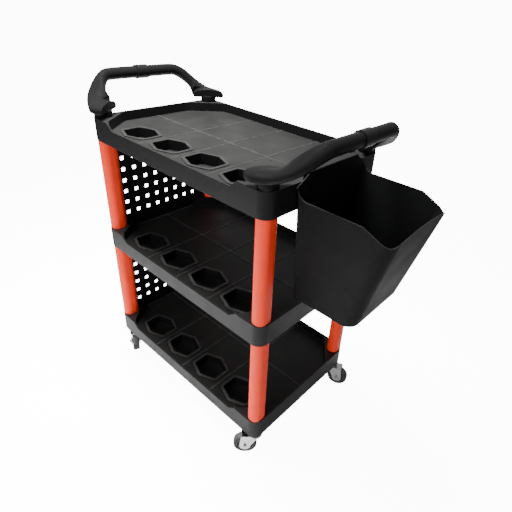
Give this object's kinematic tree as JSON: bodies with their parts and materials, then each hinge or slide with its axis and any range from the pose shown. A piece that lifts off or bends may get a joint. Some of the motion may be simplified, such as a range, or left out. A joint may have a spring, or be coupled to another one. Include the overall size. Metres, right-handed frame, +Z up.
{
  "type": "rolling utility cart",
  "caption": "Rolling utility cart: black moulded trays with bottle pockets on orange posts, peg panels, end handles, swivel casters and a lift-off hanging waste bin.",
  "frame": {"origin": "on the floor, under the middle of the cart's bounding box", "axes": "+X along the trays to the end that carries the waste bin, +Y across the trays to the high-rimmed side, +Z up"},
  "size_m": [1.1182, 0.5194, 1.059],
  "materials": {
    "tray_plastic": "black structural-foam polypropylene, fine satin texture",
    "post_plastic": "orange-red moulded polypropylene, satin",
    "panel_plastic": "black moulded polypropylene, satin",
    "handle_plastic": "black moulded polypropylene, fine texture",
    "collar_plastic": "black polypropylene",
    "core_steel": "drawn steel tube",
    "screw_steel": "zinc-plated steel",
    "insert_plastic": "black nylon insert",
    "caster_zinc": "bright zinc-plated pressed steel",
    "race_steel": "zinc-plated steel race",
    "fastener_zinc": "zinc-plated steel",
    "wheel_core": "dark grey polypropylene",
    "tread_rubber": "dark thermoplastic rubber tread",
    "bin_plastic": "black moulded polypropylene, satin"
  },
  "bodies": {
    "frame": {"bottom_tray": "tray_plastic", "middle_tray": "tray_plastic", "top_tray": "tray_plastic", "post_lower_front_left": "post_plastic", "post_lower_front_right": "post_plastic", "post_lower_rear_left": "post_plastic", "post_lower_rear_right": "post_plastic", "post_upper_front_left": "post_plastic", "post_upper_front_right": "post_plastic", "post_upper_rear_left": "post_plastic", "post_upper_rear_right": "post_plastic", "peg_panel_lower": "panel_plastic", "peg_panel_upper": "panel_plastic", "handle_left_front": "handle_plastic", "handle_left_rear": "handle_plastic", "handle_right_front": "handle_plastic", "handle_right_rear": "handle_plastic", "handle_left_collar": "collar_plastic", "handle_right_collar": "collar_plastic", "handle_left_core": "core_steel", "handle_right_core": "core_steel", "handle_screws": "screw_steel", "caster_front_left_plug": "insert_plastic", "caster_front_right_plug": "insert_plastic", "caster_rear_left_plug": "insert_plastic", "caster_rear_right_plug": "insert_plastic", "caster_front_left_stem": "caster_zinc", "caster_front_right_stem": "caster_zinc", "caster_rear_left_stem": "caster_zinc", "caster_rear_right_stem": "caster_zinc", "caster_front_left_bearing": "race_steel", "caster_front_right_bearing": "race_steel", "caster_rear_left_bearing": "race_steel", "caster_rear_right_bearing": "race_steel"},
    "fork_front_left": {"caster_front_left_fork": "caster_zinc", "caster_front_left_axle": "fastener_zinc", "caster_front_left_nut": "fastener_zinc"},
    "wheel_front_left": {"caster_front_left_wheel": "wheel_core", "caster_front_left_tyre": "tread_rubber"},
    "fork_front_right": {"caster_front_right_fork": "caster_zinc", "caster_front_right_axle": "fastener_zinc", "caster_front_right_nut": "fastener_zinc"},
    "wheel_front_right": {"caster_front_right_wheel": "wheel_core", "caster_front_right_tyre": "tread_rubber"},
    "fork_rear_left": {"caster_rear_left_fork": "caster_zinc", "caster_rear_left_axle": "fastener_zinc", "caster_rear_left_nut": "fastener_zinc"},
    "wheel_rear_left": {"caster_rear_left_wheel": "wheel_core", "caster_rear_left_tyre": "tread_rubber"},
    "fork_rear_right": {"caster_rear_right_fork": "caster_zinc", "caster_rear_right_axle": "fastener_zinc", "caster_rear_right_nut": "fastener_zinc"},
    "wheel_rear_right": {"caster_rear_right_wheel": "wheel_core", "caster_rear_right_tyre": "tread_rubber"},
    "waste_bin": {"bin": "bin_plastic"}
  },
  "joints": [
    {"name": "swivel_front_left", "type": "hinge", "parent": "frame", "child": "fork_front_left", "pos_m": [-0.4305, -0.2055, 0.08], "axis": [0, 0, 1], "continuous": true},
    {"name": "roll_front_left", "type": "hinge", "parent": "fork_front_left", "child": "wheel_front_left", "pos_m": [-0.40194, -0.21993, 0.038], "axis": [0.4509, 0.8926, 0], "continuous": true},
    {"name": "swivel_front_right", "type": "hinge", "parent": "frame", "child": "fork_front_right", "pos_m": [0.2675, -0.2055, 0.08], "axis": [0, 0, 1], "continuous": true},
    {"name": "roll_front_right", "type": "hinge", "parent": "fork_front_right", "child": "wheel_front_right", "pos_m": [0.24379, -0.227, 0.038], "axis": [0.6717, -0.7408, 0], "continuous": true},
    {"name": "swivel_rear_left", "type": "hinge", "parent": "frame", "child": "fork_rear_left", "pos_m": [-0.4305, 0.2055, 0.08], "axis": [0, 0, 1], "continuous": true},
    {"name": "roll_rear_left", "type": "hinge", "parent": "fork_rear_left", "child": "wheel_rear_left", "pos_m": [-0.45421, 0.227, 0.038], "axis": [-0.6717, -0.7408, 0], "continuous": true},
    {"name": "swivel_rear_right", "type": "hinge", "parent": "frame", "child": "fork_rear_right", "pos_m": [0.2675, 0.2055, 0.08], "axis": [0, 0, 1], "continuous": true},
    {"name": "roll_rear_right", "type": "hinge", "parent": "fork_rear_right", "child": "wheel_rear_right", "pos_m": [0.29733, 0.21707, 0.038], "axis": [-0.3616, 0.9323, 0], "continuous": true},
    {"name": "bin_lift", "type": "slide", "parent": "frame", "child": "waste_bin", "axis": [0, 0, 1], "range_m": [0, 0.045]}
  ]
}
